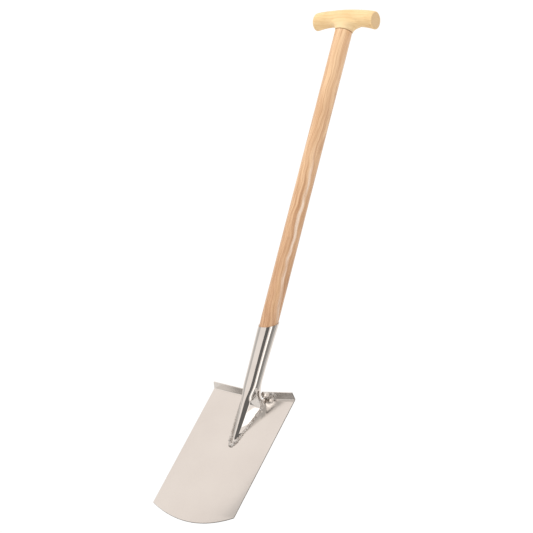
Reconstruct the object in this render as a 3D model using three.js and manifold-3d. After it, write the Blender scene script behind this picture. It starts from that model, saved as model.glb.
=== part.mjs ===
// Garden spade with a T-handle: a dished stainless blade with folded treads, a rolled sheet socket
// welded on its front face, a turned ash shaft and a waisted wooden T-grip.
// Millimetres, +Z up the shaft, +X along the grip, the dished front of the blade faces -Y.

import * as THREE from 'three';
import Module from 'manifold-3d';
import { mergeVertices } from 'three/addons/utils/BufferGeometryUtils.js';

const wasm = await Module();
wasm.setup();

// Fit between neighbouring pieces.
const GAP = 0.3;
// Free depth past the end of the tenon, the screw and the pin.
const END_ROOM = 1;
// How far a cutting shape runs past the face that it opens.
const OVERRUN = 2;

// Blade, one sheet. Distances down the blade are measured from the fold line of the treads.
const SHEET = 2;
const BLADE_WIDTH = 190;
const BLADE_WIDTH_LOW = 187.5;
const BLADE_SIDE = 267;
const EDGE_BOW = 21.5;
const BLADE_LEAN = THREE.MathUtils.degToRad(22.8);
const BLADE_SETBACK = 23.3;
const DISH_TOP = 14.4;
const DISH_LOW = 7.1;
const DISH_BLEND = 150;
const TREAD_DEPTH = 15.5;
const TREAD_FOLD = THREE.MathUtils.degToRad(72.2);
const TREAD_CHAMFER = 3;
const FOLD_RADIUS = 1.2;
const NOTCH_HALF = 16.6;

// Socket, one rolled sheet. Heights are above the fold line of the treads.
const WALL = 1.5;
const SOCKET_FRONT = 18.9;
const SOCKET_RIM = 143;
const RIM_SLANT = 12.7;
const RIM_RADIUS = 18.9;
const NECK_HEIGHT = 30;
const NECK_RADIUS = 16.4;
const TAPER_POWER = 1.5;
const ARCH_FOOT = -6;
const CREST_HALF = 11;
const CREST_ROUNDING = 0.42;
const CREST_SHARE = 1.2;
const RIDGE_SHARPNESS = 0.4;
const RIDGE_SLOPE = Math.tan(THREE.MathUtils.degToRad(42));
const FOOT_HALF = 24;
const FOOT_ROUNDING = 0.68;
const TONGUE_TIP = -103;
const TONGUE_SHOULDER = -20;
const TIP_BLUNTNESS = 0.6;
const WALL_SHARE = 0.7;
const FLARE_TOP = 8;
const FLARE_FULL = -22;
const FLANK_HOLLOW = 0.08;
const SEAM_GAP = 0.8;

// Wooden shaft and grip.
const SHAFT_RADIUS = 17.5;
const SHAFT_FOOT = 34;
const SHAFT_CHAMFER = 2;
const SHOULDER_HEIGHT = 757.4;
const TENON_RADIUS = 11;
const TENON_LENGTH = 30;
const TENON_CHAMFER = 1;
const GRIP_LENGTH = 139;
const GRIP_AXIS = 779.8;
const GRIP_TILT = 0.026;
const GRIP_END_RADIUS = 18.2;
const GRIP_ROUNDING = 2.2;
const GRIP_CROWN = 6.8;
const WAIST_HEIGHT = 0.7;
const WAIST_DEPTH = 3.2;
const BOSS_RADIUS = 18.2;
const BOSS_TOP = 7;
const BOSS_FLARE = 26;
const BOSS_DRAW_IN = 0.06;
const FLARE_HEIGHT = 14;
const FLARE_SWEEP = 0.95;

// Fasteners.
const SCREW_HEIGHT = 104;
const SCREW_ANGLE = THREE.MathUtils.degToRad(-145);
const SCREW_SHANK = 2;
const SCREW_LENGTH = 20;
const SCREW_HEAD = 4.2;
const SCREW_LIP = 0.7;
const SCREW_DOME = 2.4;
const PIN_RADIUS = 1.5;
const PIN_LENGTH = 32;
const PIN_ABOVE_SHOULDER = 13;
const PIN_SUNK = 0.6;

// Weld beads. They lie a little outside the foot of the socket and in front of the sheet.
const TONGUE_BEAD = 2.4;
const TREAD_BEAD = 2.2;
const TREAD_BEAD_START = 4.5;
const TREAD_BEAD_END = TREAD_DEPTH - 2;
const BEAD_OUTSIDE = 1.2;
const BEAD_TOP = -3;
// Above 1, the points of the path crowd towards the tip, where it turns.
const TIP_CROWDING = 1.6;

const steel = () => new THREE.MeshStandardMaterial({ color: 0xd8d0c8, metalness: 1, roughness: 0.22 });
const weldSteel = () => new THREE.MeshStandardMaterial({ color: 0xb0aaa4, metalness: 1, roughness: 0.4 });
const ash = () => new THREE.MeshStandardMaterial({ color: 0xe0b383, roughness: 0.45 });
const limewood = () => new THREE.MeshStandardMaterial({ color: 0xf4dba4, roughness: 0.55 });

// ---- helpers -------------------------------------------------------------------------------

// Moves every vertex of a geometry through a function of its position.
function warp(geometry, place) {
  const points = geometry.attributes.position;
  const point = new THREE.Vector3();
  for (let i = 0; i < points.count; i++) {
    point.fromBufferAttribute(points, i);
    const moved = place(point);
    points.setXYZ(i, moved.x, moved.y, moved.z);
  }
  return geometry;
}

function solid(geometry) {
  const bare = geometry.clone();
  bare.deleteAttribute('normal');
  bare.deleteAttribute('uv');
  const merged = mergeVertices(bare, 1e-4);
  const vertProperties = new Float32Array(merged.attributes.position.array);
  const triVerts = new Uint32Array(merged.index.array);
  return new wasm.Manifold(new wasm.Mesh({ numProp: 3, vertProperties, triVerts }));
}

function surfaceOf(manifold) {
  const mesh = manifold.getMesh();
  const geometry = new THREE.BufferGeometry();
  geometry.setAttribute('position', new THREE.BufferAttribute(mesh.vertProperties, 3));
  geometry.setIndex(new THREE.BufferAttribute(mesh.triVerts, 1));
  geometry.computeVertexNormals();
  return geometry;
}

// A thin solid over a grid: across runs -1..1, along runs 0..1, and depth 0 is the outer face.
function sheetSolid(columns, rows, place) {
  const grid = new THREE.BoxGeometry(2, 1, 1, columns, rows, 1);
  return solid(warp(grid, (p) => place(p.x, 0.5 - p.y, 0.5 - p.z)));
}

// A bar lying from one point to another, for holes and shanks.
function bar(radius, start, end, sides = 20) {
  const length = start.distanceTo(end);
  const geometry = new THREE.CylinderGeometry(radius, radius, length, sides);
  const direction = end.clone().sub(start).normalize();
  geometry.applyQuaternion(new THREE.Quaternion().setFromUnitVectors(new THREE.Vector3(0, 1, 0), direction));
  const middle = start.clone().add(end).multiplyScalar(0.5);
  return solid(geometry.translate(middle.x, middle.y, middle.z));
}

// A round bead along a list of points.
function bead(points, radius) {
  const path = new THREE.CatmullRomCurve3(points);
  const outline = new THREE.Shape().absarc(0, 0, radius, 0, 2 * Math.PI);
  const options = { steps: 3 * points.length, curveSegments: 5, bevelEnabled: false, extrudePath: path };
  return solid(new THREE.ExtrudeGeometry(outline, options));
}

function block(low, high) {
  const size = high.clone().sub(low);
  const middle = high.clone().add(low).multiplyScalar(0.5);
  return solid(new THREE.BoxGeometry(size.x, size.y, size.z).translate(middle.x, middle.y, middle.z));
}

// The biggest body that a cut leaves.
function largest(manifold) {
  return manifold.decompose().reduce((kept, body) => (body.volume() > kept.volume() ? body : kept));
}

function part(name, manifold, material) {
  const mesh = new THREE.Mesh(surfaceOf(manifold), material);
  mesh.name = name;
  return mesh;
}

// ---- blade ---------------------------------------------------------------------------------

const downBlade = new THREE.Vector3(0, -Math.sin(BLADE_LEAN), -Math.cos(BLADE_LEAN));
const offBlade = new THREE.Vector3(0, -Math.cos(BLADE_LEAN), Math.sin(BLADE_LEAN));

// How far the front face stands forward of its centre line: two straight halves at the treads,
// a shallow curve further down.
function dish(across, down) {
  const way = THREE.MathUtils.clamp(down / BLADE_SIDE, 0, 1);
  const depth = THREE.MathUtils.lerp(DISH_TOP, DISH_LOW, way);
  const curved = THREE.MathUtils.smoothstep(down, 0, DISH_BLEND);
  return depth * THREE.MathUtils.lerp(Math.abs(across), across * across, curved);
}

function bladeHalfWidth(down) {
  return THREE.MathUtils.lerp(BLADE_WIDTH, BLADE_WIDTH_LOW, Math.max(down, 0) / BLADE_SIDE) / 2;
}

// A point given in the blade's own directions.
function bladePoint(x, down, forward) {
  return new THREE.Vector3(x, BLADE_SETBACK, 0)
    .addScaledVector(downBlade, down)
    .addScaledVector(offBlade, forward);
}

// One sheet profile per column: down the tread, round the fold and down the face.
// Along runs 0..1 in equal steps over these stretches.
const TREAD_ROWS = 2;
const FOLD_ROWS = 3;
const FACE_ROWS = 12;
const BLADE_ROWS = TREAD_ROWS + FOLD_ROWS + FACE_ROWS;

function bladeSurface(across, along, behind) {
  const row = along * BLADE_ROWS;
  const foldCentre = FOLD_RADIUS * Math.tan(TREAD_FOLD / 2);
  if (row > TREAD_ROWS + FOLD_ROWS) {
    const way = (row - TREAD_ROWS - FOLD_ROWS) / FACE_ROWS;
    const end = BLADE_SIDE + EDGE_BOW * (1 - across * across);
    const down = THREE.MathUtils.lerp(foldCentre, end, way);
    const x = across * bladeHalfWidth(Math.min(down, BLADE_SIDE));
    return bladePoint(x, down, dish(across, down) - behind);
  }
  const turned = THREE.MathUtils.clamp((TREAD_ROWS + FOLD_ROWS - row) / FOLD_ROWS, 0, 1) * TREAD_FOLD;
  const outward = Math.max(TREAD_ROWS - row, 0) / TREAD_ROWS * (TREAD_DEPTH - foldCentre);
  const radius = FOLD_RADIUS + behind;
  const down = foldCentre - radius * Math.sin(turned) - outward * Math.cos(turned);
  const forward = FOLD_RADIUS - radius * Math.cos(turned) + outward * Math.sin(turned);
  const chamfer = TREAD_CHAMFER * outward / TREAD_DEPTH;
  const x = across * (BLADE_WIDTH / 2 - chamfer);
  return bladePoint(x, down, dish(x / (BLADE_WIDTH / 2), 0) + forward);
}

// The sheet with the room between the two treads, where the socket passes. A clearance makes the
// sheet that much fatter all round, to cut a neighbour with.
function bladeSolid(clearance) {
  const halfNotch = NOTCH_HALF - clearance;
  const foldTop = FOLD_RADIUS / 2;
  const room = 4 * TREAD_DEPTH;
  const notch = block(
    new THREE.Vector3(-halfNotch, -room, foldTop), new THREE.Vector3(halfNotch, room, room));
  return sheetSolid(20, BLADE_ROWS, (across, along, depth) =>
    bladeSurface(across, along, THREE.MathUtils.lerp(-clearance, SHEET + clearance, depth))).subtract(notch);
}

// Where the front face lies behind a point of given x and height.
function bladeFront(x, height) {
  let down = -height / Math.cos(BLADE_LEAN);
  let face = bladePoint(x, down, 0);
  for (let i = 0; i < 4; i++) {
    const down0 = Math.max(down, 0);
    face = bladePoint(x, down, dish(x / bladeHalfWidth(down0), down0));
    down += (face.z - height) / Math.cos(BLADE_LEAN);
  }
  return face.y;
}

// ---- socket --------------------------------------------------------------------------------

function tubeRadius(height) {
  const way = Math.max(height - NECK_HEIGHT, 0) / (SOCKET_RIM - NECK_HEIGHT);
  return NECK_RADIUS + (RIM_RADIUS - NECK_RADIUS) * Math.pow(way, TAPER_POWER);
}

function tubeCentre(height) {
  return tubeRadius(height) - SOCKET_FRONT;
}

// The outline of the tongue: 1 at its shoulder and 0 just past its tip. A low rounding is a blunt tip.
function towardTip(height, rounding) {
  const way = (height - TONGUE_TIP + TIP_BLUNTNESS) / (TONGUE_SHOULDER - TONGUE_TIP);
  return Math.pow(THREE.MathUtils.clamp(way, 0, 1), rounding);
}

// 0 where the socket is a tube and 1 where its flanks have spread out over the blade.
function opened(height) {
  return 1 - THREE.MathUtils.smoothstep(height, FLARE_FULL, FLARE_TOP);
}

function crestHalf(height) {
  const neck = THREE.MathUtils.smoothstep(height, TONGUE_SHOULDER, NECK_HEIGHT);
  return THREE.MathUtils.lerp(CREST_HALF * towardTip(height, CREST_ROUNDING), NECK_RADIUS, neck);
}

function footHalf(height) {
  const spread = FOOT_HALF * towardTip(height, FOOT_ROUNDING);
  return THREE.MathUtils.lerp(crestHalf(height), spread, opened(height));
}

// The cross-section at one height, turned from the front (0) to the rear edges of the sheet (+-1).
// Inset 0 is the outer face.
function tubeSection(turn, height, inset) {
  const radius = tubeRadius(height);
  const last = Math.PI - SEAM_GAP / 2 / radius;
  const angle = turn * last;
  const outer = radius - inset;
  return new THREE.Vector3(outer * Math.sin(angle), tubeCentre(height) - outer * Math.cos(angle), height);
}

// The section of a ridge: how far it falls back at 0..1 of its half width.
function ridgeFall(way) {
  return RIDGE_SLOPE * (Math.hypot(RIDGE_SHARPNESS, way) - RIDGE_SHARPNESS);
}

// A crest, a crease on each side and two flanks down to the blade. The crest is half a circle under
// the neck and a rounded ridge where the flanks have spread.
function archSection(turn, height, inset) {
  const half = crestHalf(height);
  const foot = footHalf(height);
  const rear = bladeFront(foot, height) - GAP;
  const depth = Math.max(rear + SOCKET_FRONT, 1);
  const bow = Math.min(half, CREST_SHARE * depth);
  const thin = Math.min(inset, WALL_SHARE * bow, WALL_SHARE * half);
  const swung = Math.min(Math.abs(turn) * 2, 1);
  const angle = swung * Math.PI / 2;
  const leg = Math.max(Math.abs(turn) * 2 - 1, 0);
  const x = (half - thin) * THREE.MathUtils.lerp(Math.sin(angle), swung, opened(height));
  const fall = THREE.MathUtils.lerp(1 - Math.cos(angle), ridgeFall(swung), opened(height));
  const y = thin - SOCKET_FRONT + (bow - thin) * fall;
  const swept = leg * (1 - FLANK_HOLLOW) + leg * leg * FLANK_HOLLOW;
  return new THREE.Vector3(
    Math.sign(turn) * THREE.MathUtils.lerp(x, foot - thin, swept),
    THREE.MathUtils.lerp(y, depth - SOCKET_FRONT, leg),
    height);
}

function socketSurface(turn, along, inset) {
  const angle = turn * Math.PI;
  const rim = SOCKET_RIM - RIM_SLANT * Math.cos(angle);
  const height = THREE.MathUtils.lerp(rim, TONGUE_TIP, along);
  const closed = THREE.MathUtils.smoothstep(height, ARCH_FOOT, NECK_HEIGHT);
  const arch = archSection(turn, Math.min(height, NECK_HEIGHT), inset);
  return arch.setZ(height).lerp(tubeSection(turn, height, inset), closed);
}

// A clearance makes the sheet that much fatter, and a drop lowers it, to cut a neighbour with.
function socketSolid(clearance, drop) {
  return sheetSolid(28, 30, (turn, along, depth) => {
    const place = socketSurface(turn, along, THREE.MathUtils.lerp(-clearance, WALL + clearance, depth));
    return place.setZ(place.z - drop);
  });
}

function socket() {
  return largest(socketSolid(0, 0).subtract(bladeSolid(GAP)).subtract(screwBar(SCREW_SHANK + GAP, 4 * WALL)));
}

// ---- shaft ---------------------------------------------------------------------------------

// The lower end follows the inside of the socket, so its centre moves with the taper.
function shaft() {
  const profile = [new THREE.Vector2(0, SHAFT_FOOT)];
  profile.push(new THREE.Vector2(tubeRadius(SHAFT_FOOT) - WALL - GAP - SHAFT_CHAMFER, SHAFT_FOOT));
  const steps = 9;
  for (let i = 0; i <= steps; i++) {
    const height = THREE.MathUtils.lerp(SHAFT_FOOT + SHAFT_CHAMFER, SOCKET_RIM + RIM_SLANT, i / steps);
    const inside = tubeRadius(height) - WALL - GAP;
    profile.push(new THREE.Vector2(Math.min(inside, SHAFT_RADIUS), height));
  }
  profile.push(new THREE.Vector2(SHAFT_RADIUS, SHOULDER_HEIGHT));
  profile.push(new THREE.Vector2(TENON_RADIUS, SHOULDER_HEIGHT));
  profile.push(new THREE.Vector2(TENON_RADIUS, SHOULDER_HEIGHT + TENON_LENGTH - TENON_CHAMFER));
  profile.push(new THREE.Vector2(TENON_RADIUS - TENON_CHAMFER, SHOULDER_HEIGHT + TENON_LENGTH));
  profile.push(new THREE.Vector2(0, SHOULDER_HEIGHT + TENON_LENGTH));
  const turned = new THREE.LatheGeometry(profile, 32).rotateX(Math.PI / 2);
  warp(turned, (p) => p.setY(p.y + (p.z < SOCKET_RIM ? tubeCentre(p.z) : 0)));
  return solid(turned)
    .subtract(screwBar(SCREW_SHANK + GAP, SCREW_LENGTH + END_ROOM))
    .subtract(pinBar(PIN_RADIUS + GAP, PIN_LENGTH + END_ROOM, OVERRUN));
}

// ---- grip ----------------------------------------------------------------------------------

// A bar along X, crowned, a little tilted, and drawn in on each side of the boss.
function gripBar() {
  const half = GRIP_LENGTH / 2;
  const lip = 1 - GRIP_ROUNDING / GRIP_END_RADIUS;
  const profile = [new THREE.Vector2(0, -half), new THREE.Vector2(lip, -half)];
  const steps = 14;
  for (let i = 0; i <= steps; i++) {
    const along = THREE.MathUtils.lerp(GRIP_ROUNDING - half, half - GRIP_ROUNDING, i / steps);
    profile.push(new THREE.Vector2(1, along));
  }
  profile.push(new THREE.Vector2(lip, half), new THREE.Vector2(0, half));
  const turned = new THREE.LatheGeometry(profile, 28).rotateZ(-Math.PI / 2);
  return solid(warp(turned, (p) => {
    const out = Math.abs(p.x / half);
    const depth = GRIP_END_RADIUS - WAIST_DEPTH * Math.pow(Math.sin(Math.PI * out), 2);
    const height = GRIP_END_RADIUS - WAIST_HEIGHT * (1 - Math.pow(out, 4));
    const centre = GRIP_AXIS + GRIP_CROWN * (1 - Math.pow(out, 3)) + GRIP_TILT * p.x;
    return new THREE.Vector3(p.x, p.y * depth, centre + p.z * height);
  }));
}

// The boss round the mortise sweeps out into the underside of both arms as it rises.
function gripBoss() {
  const foot = SHOULDER_HEIGHT + GAP;
  const height = GRIP_AXIS + BOSS_TOP - foot;
  const column = new THREE.CylinderGeometry(BOSS_RADIUS, BOSS_RADIUS, height, 32, 12).rotateX(Math.PI / 2);
  return solid(warp(column, (p) => {
    const rise = p.z + height / 2;
    const swept = Math.min(rise / FLARE_HEIGHT, 1);
    const spread = 1 + BOSS_FLARE / BOSS_RADIUS * (1 - Math.sqrt(1 - FLARE_SWEEP * swept * swept));
    const drawIn = 1 - BOSS_DRAW_IN * Math.pow(rise / height, 2);
    return new THREE.Vector3(p.x * spread, p.y * drawIn, foot + rise);
  }));
}

function grip() {
  const base = new THREE.Vector3(0, 0, SHOULDER_HEIGHT - OVERRUN);
  const roof = new THREE.Vector3(0, 0, SHOULDER_HEIGHT + TENON_LENGTH + END_ROOM);
  return gripBar()
    .add(gripBoss())
    .subtract(bar(TENON_RADIUS + GAP, base, roof, 32))
    .subtract(pinBar(PIN_RADIUS + GAP, PIN_LENGTH + END_ROOM, OVERRUN));
}

// ---- fasteners -----------------------------------------------------------------------------

// A bar along the screw's axis, from outside the socket wall inwards.
function screwBar(radius, depth) {
  const outward = new THREE.Vector3(Math.sin(SCREW_ANGLE), -Math.cos(SCREW_ANGLE), 0);
  const centre = new THREE.Vector3(0, tubeCentre(SCREW_HEIGHT), SCREW_HEIGHT);
  const seat = centre.clone().addScaledVector(outward, tubeRadius(SCREW_HEIGHT) + GAP);
  return bar(radius, seat, seat.clone().addScaledVector(outward, -depth), 16);
}

// A domed head on a plain shank.
function screw() {
  const dome = new THREE.Shape();
  dome.moveTo(0, -SCREW_LENGTH);
  dome.lineTo(SCREW_SHANK, -SCREW_LENGTH + SCREW_SHANK);
  dome.lineTo(SCREW_SHANK, 0);
  dome.lineTo(SCREW_HEAD, 0);
  dome.lineTo(SCREW_HEAD, SCREW_LIP);
  dome.quadraticCurveTo(SCREW_HEAD * 0.75, SCREW_DOME, 0, SCREW_DOME);
  const turned = new THREE.LatheGeometry(dome.getPoints(4), 16);
  const outward = new THREE.Vector3(Math.sin(SCREW_ANGLE), -Math.cos(SCREW_ANGLE), 0);
  turned.applyQuaternion(new THREE.Quaternion().setFromUnitVectors(new THREE.Vector3(0, 1, 0), outward));
  const reach = tubeRadius(SCREW_HEIGHT) + GAP;
  return solid(turned.translate(
    outward.x * reach, tubeCentre(SCREW_HEIGHT) + outward.y * reach, SCREW_HEIGHT));
}

// A bar along the pin's axis, from just inside the rear face of the boss forwards. The hole for the
// pin runs out past that face.
function pinBar(radius, length, past = 0) {
  const seat = new THREE.Vector3(0, BOSS_RADIUS - PIN_SUNK, SHOULDER_HEIGHT + PIN_ABOVE_SHOULDER);
  const start = seat.clone().setY(seat.y + past);
  const end = seat.clone().setY(seat.y - length);
  return bar(radius, start, end, 12);
}

// ---- welds ---------------------------------------------------------------------------------

// A bead lies in the corner outside both sheets, clear of each.
function outsideBead(path, radius) {
  return largest(bead(path, radius)
    .subtract(bladeSolid(GAP))
    .subtract(socketSolid(GAP, 0))
    .subtract(socketSolid(GAP, GAP)));
}

// The bead follows the foot of the socket down one side, round the tongue and up the other.
function tongueWeld() {
  const path = [];
  const steps = 9;
  for (let i = -steps; i <= steps; i++) {
    const way = Math.pow(Math.abs(i) / steps, TIP_CROWDING);
    const height = THREE.MathUtils.lerp(TONGUE_TIP - BEAD_OUTSIDE, BEAD_TOP, way);
    const foot = footHalf(Math.max(height, TONGUE_TIP)) + BEAD_OUTSIDE;
    const x = i === 0 ? 0 : Math.sign(i) * foot;
    path.push(new THREE.Vector3(x, bladeFront(x, height) - BEAD_OUTSIDE, height));
  }
  return outsideBead(path, TONGUE_BEAD);
}

// One bead under each tread, in the corner between the tread and the socket.
function treadWeld(side) {
  const path = [];
  const steps = 4;
  for (let i = 0; i <= steps; i++) {
    const outward = THREE.MathUtils.lerp(TREAD_BEAD_START, TREAD_BEAD_END, i / steps);
    const down = FOLD_RADIUS - outward * Math.cos(TREAD_FOLD);
    const forward = FOLD_RADIUS + outward * Math.sin(TREAD_FOLD);
    const x = side * (NOTCH_HALF + BEAD_OUTSIDE);
    path.push(bladePoint(x, down, dish(x / BLADE_WIDTH * 2, 0) + forward));
  }
  return outsideBead(path, TREAD_BEAD);
}

// ---- assembly ------------------------------------------------------------------------------

const spade = new THREE.Group();
spade.add(part('blade', bladeSolid(0), steel()));
spade.add(part('socket', socket(), steel()));
spade.add(part('tongue_weld', tongueWeld(), weldSteel()));
spade.add(part('tread_weld_left', treadWeld(-1), weldSteel()));
spade.add(part('tread_weld_right', treadWeld(1), weldSteel()));
spade.add(part('shaft', shaft(), ash()));
spade.add(part('t_grip', grip(), limewood()));
spade.add(part('socket_screw', screw(), steel()));
spade.add(part('grip_pin', pinBar(PIN_RADIUS, PIN_LENGTH), steel()));

// The origin is the middle of the bounding box, at the height of the cutting edge.
const box = new THREE.Box3().setFromObject(spade);
const centre = box.getCenter(new THREE.Vector3());
spade.position.set(-centre.x, -centre.y, -box.min.z);

export default spade;
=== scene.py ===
"""Garden spade: stainless blade and socket, ash shaft, pale T-grip, standing on its cutting edge."""
import math

import bmesh
import bpy
from mathutils import Matrix, Vector, noise


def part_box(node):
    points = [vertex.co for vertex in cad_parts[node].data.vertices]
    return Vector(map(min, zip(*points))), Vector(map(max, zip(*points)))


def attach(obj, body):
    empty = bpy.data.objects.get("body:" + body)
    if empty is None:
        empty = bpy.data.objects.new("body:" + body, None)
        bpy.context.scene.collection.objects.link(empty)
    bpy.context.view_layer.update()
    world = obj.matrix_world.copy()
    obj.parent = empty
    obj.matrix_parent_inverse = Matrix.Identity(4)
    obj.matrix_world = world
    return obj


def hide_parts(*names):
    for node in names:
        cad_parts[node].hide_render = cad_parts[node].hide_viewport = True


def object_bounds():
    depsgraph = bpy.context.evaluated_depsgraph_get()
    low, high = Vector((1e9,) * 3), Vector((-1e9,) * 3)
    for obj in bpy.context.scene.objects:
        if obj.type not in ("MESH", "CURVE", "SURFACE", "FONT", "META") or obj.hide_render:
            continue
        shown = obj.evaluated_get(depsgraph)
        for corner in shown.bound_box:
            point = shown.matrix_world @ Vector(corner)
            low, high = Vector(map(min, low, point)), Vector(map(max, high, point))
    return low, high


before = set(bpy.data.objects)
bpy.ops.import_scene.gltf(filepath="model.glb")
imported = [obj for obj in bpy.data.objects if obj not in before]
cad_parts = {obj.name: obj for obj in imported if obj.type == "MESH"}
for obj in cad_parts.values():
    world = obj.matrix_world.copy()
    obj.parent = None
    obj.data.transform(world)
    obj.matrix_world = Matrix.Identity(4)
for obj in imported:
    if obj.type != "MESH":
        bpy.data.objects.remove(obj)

CAD_LOW, CAD_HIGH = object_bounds()
MM = 0.001

# ---- dimensions, as the CAD model has them ---------------------------------------------------

SHEET = 2 * MM
BLADE_WIDTH = 190 * MM
BLADE_WIDTH_LOW = 187.5 * MM
BLADE_SIDE = 267 * MM
EDGE_BOW = 21.5 * MM
BLADE_LEAN = math.radians(22.8)
BLADE_SETBACK = 23.3 * MM
DISH_TOP = 14.4 * MM
DISH_LOW = 7.1 * MM
DISH_BLEND = 150 * MM
TREAD_DEPTH = 15.5 * MM
TREAD_FOLD = math.radians(72.2)
TREAD_CHAMFER = 3 * MM
FOLD_RADIUS = 1.2 * MM
NOTCH_HALF = 16.6 * MM

WALL = 1.5 * MM
SOCKET_FRONT = 18.9 * MM
SOCKET_RIM = 143 * MM
RIM_SLANT = 12.7 * MM
RIM_RADIUS = 18.9 * MM
NECK_HEIGHT = 30 * MM
NECK_RADIUS = 16.4 * MM
TAPER_POWER = 1.5
ARCH_FOOT = -6 * MM
CREST_HALF = 11 * MM
CREST_ROUNDING = 0.42
CREST_SHARE = 1.2
RIDGE_SHARPNESS = 0.4
RIDGE_SLOPE = math.tan(math.radians(42))
FOOT_HALF = 24 * MM
FOOT_ROUNDING = 0.68
TONGUE_TIP = -103 * MM
TONGUE_SHOULDER = -20 * MM
TIP_BLUNTNESS = 0.6 * MM
WALL_SHARE = 0.7
FLARE_TOP = 8 * MM
FLARE_FULL = -22 * MM
FLANK_HOLLOW = 0.08
SEAM_GAP = 0.8 * MM
GAP = 0.3 * MM

SHAFT_RADIUS = 17.5 * MM
SHAFT_FOOT = 34 * MM
SHAFT_CHAMFER = 2 * MM
SHOULDER_HEIGHT = 757.4 * MM
TENON_RADIUS = 11 * MM
TENON_LENGTH = 30 * MM
TENON_CHAMFER = 1 * MM
END_ROOM = 1 * MM
GRIP_LENGTH = 139 * MM
GRIP_AXIS = 779.8 * MM
GRIP_TILT = 0.026
GRIP_END_RADIUS = 18.2 * MM
GRIP_ROUNDING = 2.2 * MM
GRIP_CROWN = 6.8 * MM
WAIST_HEIGHT = 0.7 * MM
WAIST_DEPTH = 3.2 * MM
BOSS_RADIUS = 18.2 * MM
BOSS_TOP = 7 * MM
BOSS_FLARE = 26 * MM
BOSS_DRAW_IN = 0.06
FLARE_HEIGHT = 14 * MM
FLARE_SWEEP = 0.95

SCREW_HEIGHT = 104 * MM
SCREW_ANGLE = math.radians(-145)
SCREW_SHANK = 2 * MM
SCREW_LENGTH = 20 * MM
SCREW_HEAD = 4.2 * MM
SCREW_DOME = 2.4 * MM
PIN_RADIUS = 1.5 * MM

BEAD_OUTSIDE = 1.2 * MM
BEAD_TOP = -3 * MM
TIP_CROWDING = 1.6

# ---- details that only this model has --------------------------------------------------------

BLADE_ROUNDING = 0.35 * MM
SOCKET_ROUNDING = 0.3 * MM
LEAST_ARCH_DEPTH = 1 * MM
SHOULDER_ROUNDING = 0.8 * MM
SHOULDER_KNEE_IN = 0.3 * MM
SHOULDER_KNEE_DOWN = 0.2 * MM
MORTISE_OVERRUN = 5 * MM
SANDING_STRENGTH = 0.5
SANDING_PASSES = 16

SCREW_POINT = 2 * MM
SCREW_LIP = 0.6 * MM
SCREW_LIFT = 0.1 * MM
SLOT_SIZE = Vector((12 * MM, 1 * MM, 2.4 * MM))
SLOT_TURN = 0.6
SLOT_ABOVE_DOME = 0.1 * MM
PIN_SHOULDER = 0.4 * MM
PIN_CROWN = 0.1 * MM
PIN_CROWN_SHARE = 0.8

# Each bead's radius in the middle of its run and towards its ends, and the seed of its lumps.
TONGUE_BEAD = (2.9 * MM, 1.5 * MM)
TREAD_BEAD = (2.2 * MM, 1.8 * MM)
TONGUE_BEAD_SEED = 3.1
TREAD_BEAD_SEED = 7.7
TREAD_BEAD_START = 3 * MM
TREAD_BEAD_END = TREAD_DEPTH - 2 * MM
BEAD_RIPPLE = 0.14
BEAD_PITCH = 5.5 * MM
BEAD_END_POINTS = 4
BEAD_END_SHARE = 0.05

# Shares of the way from a bead's middle to its ends: its middle radius holds up to the first, and
# the other one from the second on.
BEAD_MIDDLE = 0.08
BEAD_BEYOND = 0.4

# Lumps on a bead: their share of its radius, and how many there are to a millimetre.
BROAD_LUMPS = (0.38, 0.23)
FINE_LUMPS = (0.16, 0.6)

# ---- how fine the meshes are -----------------------------------------------------------------

SHARP_EDGE = math.radians(50)
ROUNDING_STEPS = 3
FRONT_STEPS = 4

TREAD_ROWS = 8
FOLD_ROWS = 6
FACE_ROWS = 90
HALF_COLUMNS = 48
NOTCH_COLUMNS = 9
SOCKET_COLUMNS = 96
SOCKET_ROWS = 190
RIM_CROWDING = 1.25

SHAFT_SIDES = 96
TAPER_RINGS = 24
SHAFT_RINGS = 60
GRIP_SIDES = 72
GRIP_RINGS = 60
GRIP_ROUNDING_RINGS = 6
GRIP_END_RING = 0.5
BOSS_RINGS = 48
GRIP_VOXEL = 0.9 * MM
MORTISE_SIDES = 64

SCREW_SIDES = 40
DOME_RINGS = 8
PIN_SIDES = 24
BEAD_SIDES = 24
TONGUE_BEAD_POINTS = 60
TREAD_BEAD_POINTS = 8
TONGUE_BEAD_STEP = 0.5 * MM
TREAD_BEAD_STEP = 0.4 * MM

# The shaft's axis at the height of the treads' fold line. Heights and depths are measured from it.
shaft_low, shaft_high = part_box("shaft")
ORIGIN = Vector((0, (shaft_low.y + shaft_high.y) / 2, shaft_low.z - SHAFT_FOOT))

# ---- camera ----------------------------------------------------------------------------------

CAMERA_AZIMUTH = math.radians(36.2)
CAMERA_ELEVATION = math.radians(-12.8)
CAMERA_ROLL = math.radians(14.5)
CAMERA_DISTANCE = 3.522
CAMERA_LENS = 121.6
CAMERA_SENSOR = 36
AIM_HEIGHT = 0.4
AIM_RIGHT = -0.067
AIM_UP = -0.132


def direction(azimuth, elevation):
    """Points away from the object. Azimuth 0 is the front, and grows to the right."""
    level = math.cos(elevation)
    return Vector((math.sin(azimuth) * level, -math.cos(azimuth) * level, math.sin(elevation)))


def camera_axes():
    """The camera's right, its up and the way back from the object to the camera."""
    back = direction(CAMERA_AZIMUTH, CAMERA_ELEVATION)
    level = direction(CAMERA_AZIMUTH + math.pi / 2, 0)
    upright = back.cross(level)
    right = math.cos(CAMERA_ROLL) * level + math.sin(CAMERA_ROLL) * upright
    up = math.cos(CAMERA_ROLL) * upright - math.sin(CAMERA_ROLL) * level
    return right, up, back


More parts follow.
